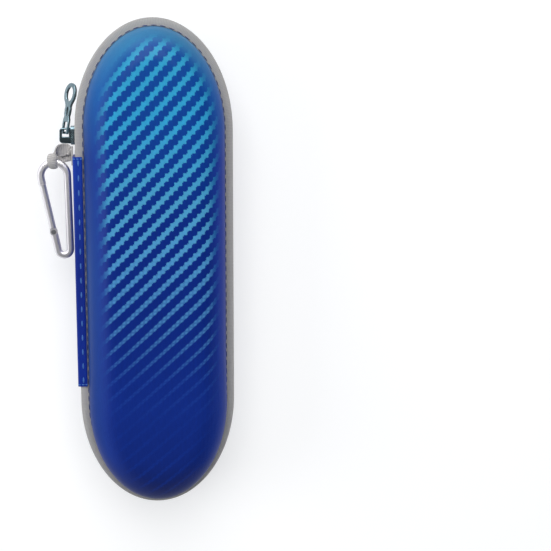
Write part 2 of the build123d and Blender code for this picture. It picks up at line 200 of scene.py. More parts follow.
def lay_rows(name, rows, coords, made, round_rows=False, round_points=False, marks=None):
    """A mesh of quads through rows of points in millimetres. coords are the cloth's own metres; a row
    or point that closes on the first has one more of them. marks gives each point's emboss and highlight mark."""
    wide = len(rows[0])
    mesh = bpy.data.meshes.new(name)
    faces, corners = [], []
    for r in range(len(rows) if round_rows else len(rows) - 1):
        for p in range(wide if round_points else wide - 1):
            steps = ((r, p), (r + 1, p), (r + 1, p + 1), (r, p + 1))
            faces.append([(i % len(rows)) * wide + k % wide for i, k in steps])
            corners += [c * mm for i, k in steps for c in coords[i][k]]
    mesh.from_pydata([(x * mm, y * mm, z * mm) for row in rows for x, y, z in row], [], faces)
    mesh.uv_layers.new(name="cloth").data.foreach_set("uv", corners)
    if marks:
        emboss_and_highlight = mesh.attributes.new("emboss_and_highlight", "FLOAT", "POINT")
        emboss_and_highlight.data.foreach_set("value", [m for row in marks for m in row])
    close_up(mesh)
    mesh.materials.append(made)
    piece = bpy.data.objects.new(name, mesh)
    bpy.context.collection.objects.link(piece)
    return piece


def close_up(mesh, sharp=50):
    """Merges doubles, caps open ends of tubes, turns the faces outwards and shades them smooth."""
    work = bmesh.new()
    work.from_mesh(mesh)
    bmesh.ops.remove_doubles(work, verts=work.verts, dist=1e-6)
    bmesh.ops.dissolve_degenerate(work, edges=work.edges, dist=1e-7)
    bmesh.ops.holes_fill(work, edges=[edge for edge in work.edges if edge.is_boundary], sides=0)
    bmesh.ops.recalc_face_normals(work, faces=work.faces)
    work.to_mesh(mesh)
    work.free()
    mesh.shade_smooth()
    mesh.set_sharp_from_angle(angle=radians(sharp))


def plan_point(turn, inset):
    """A point of the plan drawn in by inset, and the outward normal there. turn runs 0-1 up the open
    side, 1-2 round the +Y end, 2-3 down the spine side and 3-4 round the -Y end."""
    leg, share = divmod(turn % 4, 1)
    wide, reach = half_width - inset, end_reach - inset
    side = 1 if leg < 2 else -1
    if leg % 2 == 0:
        return Vector((side * wide, side * half_straight * (2 * share - 1))), Vector((side, 0))
    angle = pi * share + (0 if side > 0 else pi)
    away = Vector((cos(angle) * reach, sin(angle) * wide))
    spot = Vector((wide * cos(angle), reach * sin(angle) + side * half_straight))
    return spot, (away.normalized() if away.length > 1e-6 else Vector((0, side)))


def stations(start=0.0, stop=4.0):
    """Turns from start to stop, closer together round the ends."""
    turns = [start]
    while turns[-1] < stop - 1e-6:
        here = turns[-1] + 1e-6
        step = 1 / 60 if int(here) % 2 else 1 / 24
        turns.append(min(int(here / step + 1) * step, stop))
    return turns


def dome_line(depth):
    """Half a section through a pressed dome at that depth under its skin, from its foot to the middle
    of its crown, as insets and heights above the parting plane."""
    inset, top, rounding = shell_foot + depth, parting - depth, shell_round - depth
    foot, draft = 8, 1.2
    lean = atan2(draft, top - foot)
    centre_height = top - rounding
    centre_inset = inset + (rounding + (centre_height - foot) * sin(lean)) / cos(lean)
    bend = [lean + (pi / 2 - lean) * k / 14 for k in range(15)]
    arc = [(centre_inset - rounding * cos(a), centre_height + rounding * sin(a)) for a in bend]
    wall = [(inset + (arc[0][0] - inset) * k / 4, foot + (arc[0][1] - foot) * k / 4) for k in range(4)]
    crown = [(centre_inset + (half_width - centre_inset) * k / 6, top) for k in range(1, 7)]
    return wall + arc + crown


def pressed_half(name, side, depth, thick, made):
    """A closed dome between two depths under the skin. The cloth's coordinates are the plan, let out
    down the sides by the length that the section has there, and squeezed towards the +Y end. The
    emboss and highlight mark is 0 on the sides and 1 on the crown: it flattens the twill's bump on the sides,
    leaves the painted highlight off them and gives them their painted sheen instead."""
    outer, inner = dome_line(depth), dome_line(depth + thick)
    flat_side_sheen, eased, fade, foot_swell = 6.8, 2.0, 7.5, 0.8
    squeeze, cloth_scale = 0.00147, 0.0014
    line = outer[::-1] + inner
    gain, spent = [0.0], 0.0
    for (a, b), (c, d) in zip(line, line[1:]):
        spent += (hypot(c - a, d - b) - abs(c - a)) if len(gain) < len(outer) else 0
        gain.append(spent)
    rows, coords, marks = [], [], []
    for turn in stations()[:-1]:
        row, flat, mark = [], [], []
        foot = min(max(-plan_point(turn, 4.0)[0].y / 60.0 - 0.6, 0), 1)
        for (inset, height), extra in zip(line, gain):
            swell = foot_swell * foot * sin(pi * min(max((height - 8.5) / 21.0, 0), 1))
            spot, away = plan_point(turn, inset - swell)
            row.append((spot.x, spot.y, parting + side * height))
            on_cloth = spot + away * extra
            flat.append((on_cloth.x, log(1 + squeeze * on_cloth.y) / cloth_scale))
            step = min(max((inset - flat_side_sheen - eased * max(-away.x, 0)) / fade, 0), 1)
            mark.append(step * step * (3 - 2 * step))
        rows.append(row)
        coords.append(flat)
        marks.append(mark)
    coords.append(coords[0])
    return lay_rows(name, rows, coords, made, round_rows=True, marks=marks)


def ramp(tree, share, *stops):
    """Colours set out along a share from 0 to 1, as (place, red, green, blue)."""
    made = node(tree, "ShaderNodeValToRGB", {0: share})
    band = made.color_ramp
    while len(band.elements) < len(stops):
        band.elements.new(0.5)
    for element, (place, *shade) in zip(band.elements, stops):
        element.position = place
    for element, (place, *shade) in zip(band.elements, stops):
        element.color = tone(*shade)
    return made.outputs[0]


def twill_skin(name):
    """Blue coated skin: bright and dark yarns of the twill, the bright ones painted highlight, with painted
    light and shade along its length and painted sheen on its plain sides.
    """
    made, tree, shader = finish(name, 0.45)
    cell = 2.13 * mm
    cloth = node(tree, "ShaderNodeSeparateXYZ", {0: node(tree, "ShaderNodeUVMap", uv_map="cloth").outputs[0]})
    place = node(tree, "ShaderNodeSeparateXYZ", {0: node(tree, "ShaderNodeTexCoord").outputs["Object"]})
    rise = node(tree, "ShaderNodeMapRange", {0: place.outputs[1], 1: -0.12, 2: 0.12}).outputs[0]
    # The emboss and highlight mark: 1 on the crown, where the bump is full and the painted highlight lies, 0 on
    # the sides.
    emboss_and_highlight = node(tree, "ShaderNodeAttribute", attribute_name="emboss_and_highlight").outputs["Fac"]
    wobble = node(tree, "ShaderNodeTexNoise", {"Scale": 900.0, "Detail": 1.0})
    drift = node(tree, "ShaderNodeSeparateColor", {0: wobble.outputs["Color"]})
    across = calc(tree, "MULTIPLY_ADD", drift.outputs[0], 0.5, calc(tree, "DIVIDE", cloth.outputs[0], cell))
    along = calc(tree, "MULTIPLY_ADD", drift.outputs[1], 0.5, calc(tree, "DIVIDE", cloth.outputs[1], cell))
    # A bright yarn lies on top in two of every four cells, one cell further on in each next row.
    over = []
    for slip in (-0.13, 0.13):
        column = calc(tree, "FLOOR", calc(tree, "ADD", across, slip))
        line = calc(tree, "FLOOR", calc(tree, "ADD", along, slip))
        turn = calc(tree, "FLOORED_MODULO", calc(tree, "SUBTRACT", column, line), 4.0)
        over.append(calc(tree, "LESS_THAN", turn, 1.5))
    weft = calc(tree, "MULTIPLY", *over)
    hump_v = calc(tree, "SINE", calc(tree, "MULTIPLY", calc(tree, "FRACT", along), pi))
    hump_u = calc(tree, "SINE", calc(tree, "MULTIPLY", calc(tree, "FRACT", across), pi))
    # The bright yarns are painted highlight: a slanting band that is narrow and beaded at the foot end and
    # widens upwards, as the reflection of a lamp at the top end would be.
    slant = calc(tree, "FLOORED_MODULO", calc(tree, "ADD", calc(tree, "SUBTRACT", across, along), 1.5), 4.0)
    aside = calc(tree, "ABSOLUTE", calc(tree, "SUBTRACT", slant, 2.0))
    highlight_width = node(tree, "ShaderNodeMapRange", {0: rise, 1: 0.34, 2: 0.70, 3: 0.50, 4: 1.50}).outputs[0]
    band = node(tree, "ShaderNodeMapRange", {0: calc(tree, "SUBTRACT", aside, highlight_width), 1: 0.15, 2: -0.15})
    highlight_beading = node(tree, "ShaderNodeMapRange", {0: rise, 1: 0.58, 2: 0.36, 3: 0.0, 4: 0.6}).outputs[0]
    bead = calc(tree, "MULTIPLY", hump_u, hump_v)
    full = node(tree, "ShaderNodeMix", {0: highlight_beading, 2: 1.0, 3: bead}, data_type="FLOAT").outputs[0]
    full = calc(tree, "MULTIPLY", full, band.outputs[0])
    highlight_mask = calc(tree, "MULTIPLY", calc(tree, "MULTIPLY", weft, full), emboss_and_highlight)
    # Colours up the length of the case, painted darker towards the foot end and lighter towards the top end as
    # painted light and shade:
    # of the dark yarns, the painted highlight of the bright ones on the crown and at its edge, the painted
    # sheen of the flat sides, and the painted sheen of the sides towards the spine.
    dark = ramp(
        tree, rise, (0.02, 20, 30, 74), (0.11, 13, 37, 114), (0.22, 13, 41, 125), (0.42, 6, 36, 119),
        (0.60, 4, 38, 121), (0.74, 6, 54, 135), (0.93, 8, 68, 144),
    )
    crown_highlight = ramp(
        tree, rise, (0.20, 15, 44, 128), (0.28, 28, 62, 144), (0.38, 66, 122, 178), (0.52, 74, 143, 192),
        (0.64, 70, 148, 188), (0.80, 46, 150, 194), (0.95, 46, 150, 188),
    )
    side_highlight = ramp(
        tree, rise, (0.20, 15, 44, 128), (0.50, 30, 96, 160), (0.75, 34, 140, 180), (0.95, 46, 146, 178),
    )
    bright = tint(tree, calc(tree, "POWER", emboss_and_highlight, 3.0), side_highlight, crown_highlight)
    # The sides carry painted sheen in place of the yarns' painted highlight; the spine side has its own painted
    # sheen.
    flat_side_sheen = ramp(
        tree, rise, (0.01, 18, 32, 88), (0.13, 22, 52, 138), (0.50, 20, 50, 146), (0.72, 18, 52, 148),
        (0.84, 24, 82, 158), (0.95, 50, 116, 160),
    )
    spine_side = node(tree, "ShaderNodeMapRange", {0: place.outputs[0], 1: -0.022, 2: -0.033}).outputs[0]
    spine_side_sheen = ramp(
        tree, rise, (0.01, 20, 36, 90), (0.13, 20, 52, 126), (0.50, 26, 66, 134), (0.72, 16, 54, 130),
        (0.86, 26, 88, 150), (0.95, 48, 114, 158),
    )
    colour = tint(tree, highlight_mask, tint(tree, emboss_and_highlight, tint(tree, spine_side, flat_side_sheen, spine_side_sheen), dark), bright)
    cloud = node(tree, "ShaderNodeTexNoise", {"Scale": 60.0, "Detail": 3.0, "Roughness": 0.6}).outputs[0]
    worn = node(tree, "ShaderNodeHueSaturation", {"Color": colour})
    tree.links.new(calc(tree, "MULTIPLY_ADD", cloud, 0.30, 0.85), worn.inputs["Value"])
    tree.links.new(worn.outputs[0], shader.inputs["Base Color"])
    # Each yarn is raised along its own run, and nearly flat down the sides.
    pick = node(tree, "ShaderNodeMix", {0: weft, 2: hump_u, 3: hump_v}, data_type="FLOAT").outputs[0]
    height = calc(tree, "MULTIPLY", pick, calc(tree, "MULTIPLY_ADD", emboss_and_highlight, 0.9, 0.1))
    relief(tree, shader, height, 0.05 * mm)
    tree.links.new(calc(tree, "MULTIPLY_ADD", highlight_mask, -0.10, 0.46), shader.inputs["Roughness"])
    shader.inputs["Specular IOR Level"].default_value = 0.04
    shader.inputs["Coat Weight"].default_value = 0.12
    shader.inputs["Coat Roughness"].default_value = 0.24
    return made


blue_skin = twill_skin("blue_twill_skin")

for side, half in halves:
    shell = pressed_half(f"{half}_twill_shell", side, 0.0, board_thick, blue_skin)
    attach(shell, half)
    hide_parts(f"{half}_shell")


# ---- linings -----------------------------------------------------------------------------------
# Brushed knit, bonded to the foam before pressing, so it follows the inside without a crease.


def knit(name, low, high, pitch, depth):
    """Fine knit: small loops close together, in two tones that drift."""
    made, tree, shader = finish(name, 0.95)
    where = node(tree, "ShaderNodeTexCoord").outputs["Object"]
    loops = node(tree, "ShaderNodeTexVoronoi", {"Vector": where, "Scale": 1 / pitch}).outputs[0]
    cloud = node(tree, "ShaderNodeTexNoise", {"Vector": where, "Scale": 60.0, "Detail": 4.0}).outputs[0]
    grain = calc(tree, "MULTIPLY_ADD", cloud, 0.6, calc(tree, "MULTIPLY", loops, 0.5))
    tree.links.new(tint(tree, grain, low, high), shader.inputs["Base Color"])
    relief(tree, shader, loops, depth)
    shader.inputs["Sheen Weight"].default_value = 0.25
    shader.inputs["Sheen Roughness"].default_value = 0.5
    return made


lining_knit = knit("mauve_grey_lining", tone(96, 88, 96), tone(142, 134, 142), 0.7 * mm, 0.12 * mm)

for side, half in halves:
    lining = pressed_half(f"{half}_knit_lining", side, board_thick, lining_thick, lining_knit)
    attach(lining, half)
    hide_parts(f"{half}_lining")


# ---- rims --------------------------------------------------------------------------------------
# Padded lip: a strip of soft foam wrapped in grey cloth and glued inside the mouth of each half, so
# that the two lips meet when the zip is closed.


def along_rim(name, side, outline, made, span=None, round_points=True):
    """A band swept along the plan. outline lists insets and heights above the parting plane. The
    cloth's coordinates run along the band and across it."""
    turns = stations(*(span or (0.0, 4.0)))
    across = [0.0]
    loop = outline + [outline[0]] if round_points else outline
    for (a, b), (c, d) in zip(loop, loop[1:]):
        across.append(across[-1] + hypot(c - a, d - b))
    rows, coords, run, last = [], [], 0.0, None
    for turn in turns:
        spot, _ = plan_point(turn, outline[0][0])
        run += (spot - last).length if last else 0
        last = spot
        row = []
        for inset, height in outline:
            spot_here, _ = plan_point(turn, inset)
            row.append((spot_here.x, spot_here.y, parting + side * height))
        rows.append(row)
        coords.append([(run, v) for v in across])
    if not span:
        rows.pop()
    return lay_rows(name, rows, coords, made, round_rows=not span, round_points=round_points)


rim_cloth = knit("grey_rim_cloth", tone(138, 136, 135), tone(182, 180, 178), 0.5 * mm, 0.08 * mm)
crowned_pad = [(4.0, 8.0), (4.0, 5.4), (4.05, 3.2), (4.3, 1.7), (4.9, 0.75), (5.8, 0.3), (6.9, 0.15)]
crowned_pad += [(8.0, 0.22), (9.1, 0.55), (9.9, 1.2), (10.35, 2.2), (10.5, 3.6), (10.5, 5.6), (10.35, 8.0)]

for side, half in halves:
    lip = along_rim(f"{half}_padded_lip", side, crowned_pad, rim_cloth)
    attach(lip, half)
    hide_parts(f"{half}_rim")


# ---- straps ------------------------------------------------------------------------------------
# Wide knitted elastic, stretched across the mouth of each half to hold the handle and the charger.
# Its ends are glued under the lips.


def ribbed(name, low, high, pitch, depth):
    """Cloth with ribs across the first of the piece's own coordinates and finer ones across the second."""
    made, tree, shader = finish(name, 0.9)
    cloth = node(tree, "ShaderNodeSeparateXYZ", {0: node(tree, "ShaderNodeUVMap", uv_map="cloth").outputs[0]})
    wave = calc(tree, "SINE", calc(tree, "MULTIPLY", cloth.outputs[0], 2 * pi / pitch))
    weft = calc(tree, "SINE", calc(tree, "MULTIPLY", cloth.outputs[1], 2 * pi / (0.6 * pitch)))
    weave = calc(tree, "MULTIPLY_ADD", wave, 0.35, calc(tree, "MULTIPLY_ADD", weft, 0.15, 0.5))
    cloud = node(tree, "ShaderNodeTexNoise", {"Scale": 90.0, "Detail": 4.0}).outputs[0]
    shade = calc(tree, "MULTIPLY_ADD", cloud, 0.5, calc(tree, "MULTIPLY", weave, 0.5))
    tree.links.new(tint(tree, shade, low, high), shader.inputs["Base Color"])
    relief(tree, shader, weave, depth)
    shader.inputs["Sheen Weight"].default_value = 0.2
    shader.inputs["Sheen Roughness"].default_value = 0.5
    return made


strap_knit = ribbed("grey_strap_elastic", tone(138, 137, 136), tone(176, 175, 174), 1.1 * mm, 0.10 * mm)


def web(name, edge_of, y_low, y_high, z, thick, steps, made, sag, draw):
    """A flat web between two edges: edge_of gives its half width at a Y. It sags in the middle and its
    free edges are drawn in by draw."""
    rows, coords, columns = [], [], 24
    for face in (thick / 2, -thick / 2):
        for k in range(steps + 1):
            share = k / steps if face > 0 else 1 - k / steps
            row, flat = [], []
            for j in range(columns + 1):
                across = 2 * j / columns - 1
                hollow = 1 - across * across
                y = y_low + (y_high - y_low) * share
                y += draw * hollow * (1 - 2 * share)
                row.append((across * edge_of(y), y, z + face - sag * hollow))
                flat.append((across * edge_of(y), y))
            rows.append(row)
            coords.append(flat)
    coords.append(coords[0])
    return lay_rows(name, rows, coords, made, round_rows=True)


strap_half_length, strap_half_width, strap_thick, strap_sink = 28.3, 11.4, 0.9, 2.9
for side, half, middle in ((1, "front", 18.0), (-1, "back", -47.0)):
    strap = web(
        f"{half}_strap_elastic",
        lambda y: strap_half_length,
        middle - strap_half_width,
        middle + strap_half_width,
        parting + side * strap_sink,
        strap_thick,
        10,
        strap_knit,
        sag=-0.5 * side,
        draw=0.7,
    )
    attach(strap, half)
    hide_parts(f"{half}_strap")


# ---- net pocket --------------------------------------------------------------------------------
# Knotless net over the +Y end of the back half, gathered into a wide elastic band along its mouth.
# The net's other edge is glued under the lip.


def mouth_half(y):
    """Half the width of the net where its edge is tucked into the lip."""
    inset = 9.6
    past = max(y - half_straight, 0) / (end_reach - inset)
    return (half_width - inset) * max(1 - past * past, 0) ** 0.5


band = web("pocket_mouth_band", mouth_half, 16.1, 26.9, parting - 3.1, 1.3, 8, strap_knit, sag=0.5, draw=0.4)
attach(band, "back")
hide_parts("pocket_elastic_band")


def spun(name, roughness, low, high, scale=1400.0, distortion=1.0, depth=0.05 * mm):
    """Twisted thread."""
    made, tree, shader = finish(name, roughness)
    turns = {"Scale": scale, "Distortion": distortion}
    twist = node(tree, "ShaderNodeTexWave", turns, bands_direction="DIAGONAL").outputs[0]
    tree.links.new(tint(tree, twist, low, high), shader.inputs["Base Color"])
    relief(tree, shader, twist, depth)
    return made


net_thread = spun("net_thread", 0.7, tone(150, 150, 152), tone(206, 206, 208), scale=900.0, distortion=1.5)


def new_tree(name, *sizes):
    """A geometry tree with its geometry going in and out, and named sizes. Gives the tree, the input
    node and the output node."""
    tree = bpy.data.node_groups.new(name, "GeometryNodeTree")
    tree.interface.new_socket("Geometry", in_out="INPUT", socket_type="NodeSocketGeometry")
    for title, kind, value in sizes:
        made = tree.interface.new_socket(title, in_out="INPUT", socket_type=kind)
        if value is not None:
            made.default_value = value
    tree.interface.new_socket("Geometry", in_out="OUTPUT", socket_type="NodeSocketGeometry")
    return tree, tree.nodes.new("NodeGroupInput"), tree.nodes.new("NodeGroupOutput")


def grow(name, guide, tree, sizes):
    """Runs a geometry tree on a guide object and keeps the result as a plain mesh piece."""
    made = guide.modifiers.new("grow", "NODES")
    made.node_group = tree
    for item in tree.interface.items_tree:
        if item.in_out == "INPUT" and item.name in sizes:
            made[item.identifier] = sizes[item.name]
    bpy.context.view_layer.update()
    ready = guide.evaluated_get(bpy.context.evaluated_depsgraph_get())
    mesh = bpy.data.meshes.new_from_object(ready)
    mesh.name = name
    guide.modifiers.remove(made)
    bpy.data.objects.remove(guide)
    piece = bpy.data.objects.new(name, mesh)
    bpy.context.collection.objects.link(piece)
    return piece


def guide_lines(name, lines):
    """An object of bare edges through lines of points in millimetres."""
    spots, edges = [], []
    for line in lines:
        edges += [(len(spots) + k, len(spots) + k + 1) for k in range(len(line) - 1)]
        spots += [tuple(c * mm for c in spot) for spot in line]
    mesh = bpy.data.meshes.new(name)
    mesh.from_pydata(spots, edges, [])
    guide = bpy.data.objects.new(name, mesh)
    bpy.context.collection.objects.link(guide)
    return guide


def strand_tree():
    """Gives every edge of the guide a round thread."""
    tree, entry, leave = new_tree(
        "net_strands", ("Radius", "NodeSocketFloat", 0.2 * mm), ("Finish", "NodeSocketMaterial", None)
    )
    path = node(tree, "GeometryNodeMeshToCurve", {0: entry.outputs["Geometry"]})
    ring = node(tree, "GeometryNodeCurvePrimitiveCircle", {"Resolution": 5, "Radius": entry.outputs["Radius"]})
    tube = node(tree, "GeometryNodeCurveToMesh", {"Curve": path.outputs[0], "Profile Curve": ring.outputs[0]})
    real = node(tree, "GeometryNodeRealizeInstances", {0: tube.outputs[0]})
    dress = node(tree, "GeometryNodeSetMaterial", {0: real.outputs[0], "Material": entry.outputs["Finish"]})
    tree.links.new(dress.outputs[0], leave.inputs[0])
    return tree


# Each strand swings to and fro about its own column, and meets the next one at every turn. The net
# sags between the lips, and the strands of the two leans pass over and under each other.
net_pitch, steps_to_knot, step_length, net_start, net_end = 4.1, 6, 0.7, 26.0, 110.3
net_sink, net_sag, net_weave, lines = 2.8, 0.9, 0.12, []
for lean in (1, -1):
    for column in range(-8, 9):
        line = []
        for step in range(122):
            y = net_start + step * step_length
            swing = abs((step / steps_to_knot % 2) - 1) * 2 - 1
            x = net_pitch * column + lean * swing * net_pitch / 2
            if abs(x) <= mouth_half(y) and y < net_end:
                sag = net_sag * (1 - (x / mouth_half(0)) ** 2)
                line.append((x, y, parting - net_sink - sag + net_weave * lean))
            else:
                lines.append(line)
                line = []
        lines.append(line)
net = grow(
    "pocket_net_strands",
    guide_lines("net_guide", [line for line in lines if len(line) > 1]),
    strand_tree(),
    {"Radius": 0.31 * mm, "Finish": net_thread},
)
net.data.shade_smooth()
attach(net, "back")
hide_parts("pocket_net")


# ---- zip tapes ---------------------------------------------------------------------------------
# Woven polyester tape, sewn between the edging and the lip of each half. Only a narrow root of it
# runs on behind the strip.

tape_weave = ribbed("grey_zip_tape", tone(128, 127, 126), tone(170, 168, 166), 0.8 * mm, 0.10 * mm)
strip_top, strip_foot = 54.0, -59.0
tab_top, tab_foot = 69.0, -74.0


def turn_at(y):
    """The turn, on the spine side, of a point of the zip at that Y."""
    past = (abs(y) - half_straight) / (end_reach - 1.4)
    swing = atan2(past, (1 - past * past) ** 0.5) / pi
    return 2 - swing if y > 0 else 3 + swing


# The zip's run, from one tab round the open side to the other, and the rest of the way round.
open_run = (turn_at(tab_foot), 4 + turn_at(tab_top))
hidden_run = (turn_at(tab_top), turn_at(tab_foot))
tape_section = [(1.0, 8.1), (1.0, 0.7), (1.3, 0.55), (1.7, 0.7), (1.8, 8.1)]
root_section = [(1.12, 8.1), (1.12, 6.4), (1.68, 6.4), (1.68, 8.1)]
for side, half in halves:
    tape = along_rim(f"{half}_tape", side, tape_section, tape_weave, span=open_run)
    root = along_rim(f"{half}_tape_root", side, root_section, tape_weave, span=hidden_run)
    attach(tape, half)
    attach(root, half)
    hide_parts(f"{half}_zip_tape")


# ---- zip teeth ---------------------------------------------------------------------------------
# Coils of grey nylon, sewn along the tapes: each turn shows as a rounded tooth, and the turns of the
# two halves stand between each other along the parting plane.


def cloudy(name, roughness, metallic, low, high, scale, detail, depth):
    """Cast or moulded stuff in two tones that drift, with slight dents."""
    made, tree, shader = finish(name, roughness, metallic)
    cloud = node(tree, "ShaderNodeTexNoise", {"Scale": scale, "Detail": detail}).outputs[0]
    tree.links.new(tint(tree, cloud, low, high), shader.inputs["Base Color"])
    relief(tree, shader, cloud, depth)
    return made


nylon = cloudy("grey_nylon", 0.38, 0.0, tone(84, 84, 86), tone(112, 112, 114), 700.0, 2.0, 0.03 * mm)


def bead_tree(name):
    """Sets small rounded shapes along a guide. Length lies along it, Width in the plan, Height up."""
    tree, entry, leave = new_tree(
        name,
        ("Pitch", "NodeSocketFloat", 2.4 * mm),
        ("Length", "NodeSocketFloat", 1.2 * mm),
        ("Width", "NodeSocketFloat", 1.0 * mm),
        ("Height", "NodeSocketFloat", 2.0 * mm),
        ("Finish", "NodeSocketMaterial", None),
    )
    path = node(tree, "GeometryNodeMeshToCurve", {0: entry.outputs["Geometry"]}).outputs[0]
    spots = node(
        tree, "GeometryNodeCurveToPoints", {"Curve": path, "Length": entry.outputs["Pitch"]}, mode="LENGTH"
    )
    way = spots.outputs["Tangent"]
    turned = node(tree, "FunctionNodeAlignRotationToVector", {"Vector": way}, axis="X", pivot_axis="Z")
    seed = node(tree, "GeometryNodeMeshUVSphere", {"Segments": 8, "Rings": 6, "Radius": 0.5})
    size = node(
        tree,
        "ShaderNodeCombineXYZ",
        {0: entry.outputs["Length"], 1: entry.outputs["Width"], 2: entry.outputs["Height"]},
    )
    set_out = node(
        tree,
        "GeometryNodeInstanceOnPoints",
        {
            "Points": spots.outputs["Points"],
            "Instance": seed.outputs["Mesh"],
            "Rotation": turned.outputs[0],
            "Scale": size.outputs[0],
        },
    )
    real = node(tree, "GeometryNodeRealizeInstances", {0: set_out.outputs[0]})
    smooth = node(tree, "GeometryNodeSetShadeSmooth", {0: real.outputs[0]})
    dress = node(tree, "GeometryNodeSetMaterial", {0: smooth.outputs[0], "Material": entry.outputs["Finish"]})
    tree.links.new(dress.outputs[0], leave.inputs[0])
    return tree


bead_row = bead_tree("bead_row")


def plan_line(inset, z, start, stop):
    """Points along the plan at one inset and height, evenly spaced."""
    line, fine, step = [], 900, 0.7
    for k in range(fine + 1):
        spot, _ = plan_point(start + (stop - start) * k / fine, inset)
        here = Vector((spot.x, spot.y, z))
        if not line or (here - line[-1]).length >= step:
            line.append(here)
    return line


tooth_pitch, tooth_inset, tooth_rise = 2.3, 0.52, 0.66
tooth_sizes = {"Pitch": tooth_pitch * mm, "Length": 1.25 * mm, "Width": 1.0 * mm, "Height": 2.05 * mm}
tooth_sizes["Finish"] = nylon
for side, half in halves:
    line = plan_line(tooth_inset, parting + side * tooth_rise, *open_run)
    if side < 0:
        line = [line[0] + (line[1] - line[0]).normalized() * tooth_pitch / 2] + line[2:]
    teeth = grow(f"{half}_teeth", guide_lines(f"{half}_teeth_guide", [line]), bead_row, tooth_sizes)
    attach(teeth, half)
    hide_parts(f"{half}_zip_coil")


# ---- edging ------------------------------------------------------------------------------------
# Grey woven binding folded over the joint of shell, lip and tape of each half, and closed by one row
# of dark stitches beside the foot of the shell.

binding_weave = ribbed("grey_binding", tone(142, 140, 137), tone(176, 173, 170), 0.7 * mm, 0.07 * mm)
seam_thread = spun("dark_seam_thread", 0.6, tone(16, 34, 92), tone(34, 58, 126), depth=0.04 * mm)
seam_inset, seam_height = 3.72, 9.06
binding_section = [(4.0, 8.0), (4.0, 9.0), (3.7, 9.1), (3.2, 9.02), (2.7, 9.2), (1.2, 9.2), (0.5, 9.1)]
binding_section += [(0.12, 8.85), (0.0, 8.6), (0.12, 8.3), (0.4, 8.08), (1.0, 8.0)]

for side, half in halves:
    binding = along_rim(f"{half}_binding", side, binding_section, binding_weave)
    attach(binding, half)
    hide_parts(f"{half}_edging")
    seam = grow(
        f"{half}_seam_stitches",
        guide_lines(f"{half}_seam_guide", [plan_line(seam_inset, parting + side * seam_height, 0.0, 4.0)]),
        bead_row,
        {"Pitch": 4.3 * mm, "Length": 3.4 * mm, "Width": 0.42 * mm, "Height": 0.32 * mm, "Finish": seam_thread},
    )
    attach(seam, half)


# ---- spine strip -------------------------------------------------------------------------------
# One strip of the same blue skin joins the halves. Its long edges turn in over the edging and are
# sewn down with a row of light blue stitches; between them it folds along two lines when the case
# opens, so each half of it bends from the spine to its shell.

strip_skin, strip_tree, strip_shader = finish("blue_strip_skin", 0.45)
strip_place = node(strip_tree, "ShaderNodeTexCoord").outputs["Object"]
strip_rise = node(
    strip_tree,
    "ShaderNodeMapRange",
    {0: node(strip_tree, "ShaderNodeSeparateXYZ", {0: strip_place}).outputs[1], 1: -0.06, 2: 0.055},
).outputs[0]
creases = node(strip_tree, "ShaderNodeTexNoise", {"Scale": 220.0, "Detail": 4.0, "Roughness": 0.65}).outputs[0]
pores = node(strip_tree, "ShaderNodeTexVoronoi", {"Scale": 1500.0}).outputs[0]
# The strip's blue is painted light along its length: lighter at the top end, a little lighter at the foot end
# and darkest in the middle.
strip_blue = node(
    strip_tree,
    "ShaderNodeHueSaturation",
    {
        "Color": ramp(strip_tree, strip_rise, (0.0, 10, 44, 142), (0.5, 8, 36, 128), (1.0, 14, 54, 156)),
        "Value": calc(strip_tree, "MULTIPLY_ADD", creases, 0.9, 0.55),
    },
)
strip_tree.links.new(strip_blue.outputs[0], strip_shader.inputs["Base Color"])
relief(strip_tree, strip_shader, calc(strip_tree, "MULTIPLY_ADD", pores, 0.3, creases), 0.12 * mm)
strip_shader.inputs["Specular IOR Level"].default_value = 0.1
strip_shader.inputs["Coat Weight"].default_value = 0.14
strip_shader.inputs["Coat Roughness"].default_value = 0.28
strip_backing = knit("grey_strip_backing", tone(130, 128, 127), tone(172, 170, 168), 0.5 * mm, 0.07 * mm)
strip_thread = spun("light_blue_thread", 0.5, tone(44, 96, 176), tone(84, 142, 206))


def strip_piece(name, side, section, low, high, made):
    """A cross-section in X and height above the parting plane, drawn out along Y."""
    loop = section + [section[0]]
    across = [0.0]
    for (a, b), (c, d) in zip(loop, loop[1:]):
        across.append(across[-1] + hypot(c - a, d - b))
    stops = [low, low + 0.25, low + 0.8] + [low + 0.8 + (high - low - 1.6) * k / 40 for k in range(1, 41)]
    stops += [high - 0.25, high]
    rows = [[(x, y, parting + side * h) for x, h in section] for y in stops]
    coords = [[(v, y) for v in across] for y in stops]
    return lay_rows(name, rows, coords, made, round_points=True)


def fold_over(half, *pieces):
    """Bakes each piece's placement into its mesh. half is not used."""
    for piece in pieces:
        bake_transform(piece)


risers = [k * 0.4 for k in range(0, 23)]
strip_section = [(-39.3, h) for h in risers]
strip_section += [(-38.4 - 0.9 * cos(a), 9.3 + 0.9 * sin(a)) for a in (pi / 2 * k / 6 for k in range(7))]
strip_section += [(-37.4, 10.24), (-36.6, 10.14), (-35.8, 10.24), (-35.0, 10.2), (-34.7, 10.0), (-34.7, 9.25)]
strip_section += [(-35.6, 9.22), (-37.4, 9.22), (-38.28, 9.2)] + [(-38.3, h) for h in risers[::-1]]
backing_section = [(-38.28, h) for h in risers[:20]] + [(-37.85, h) for h in risers[:20][::-1]]
stitch_pitch, stitch_count, stitch_step = 7.1, 16, 0.25
stitch_x, stitch_height = -36.6, 10.2
stitch_run = stitch_pitch * (stitch_count - 1)
stitch_start = (strip_top + strip_foot) / 2 - stitch_run / 2
stitch_steps = int(stitch_run / stitch_step) + 2

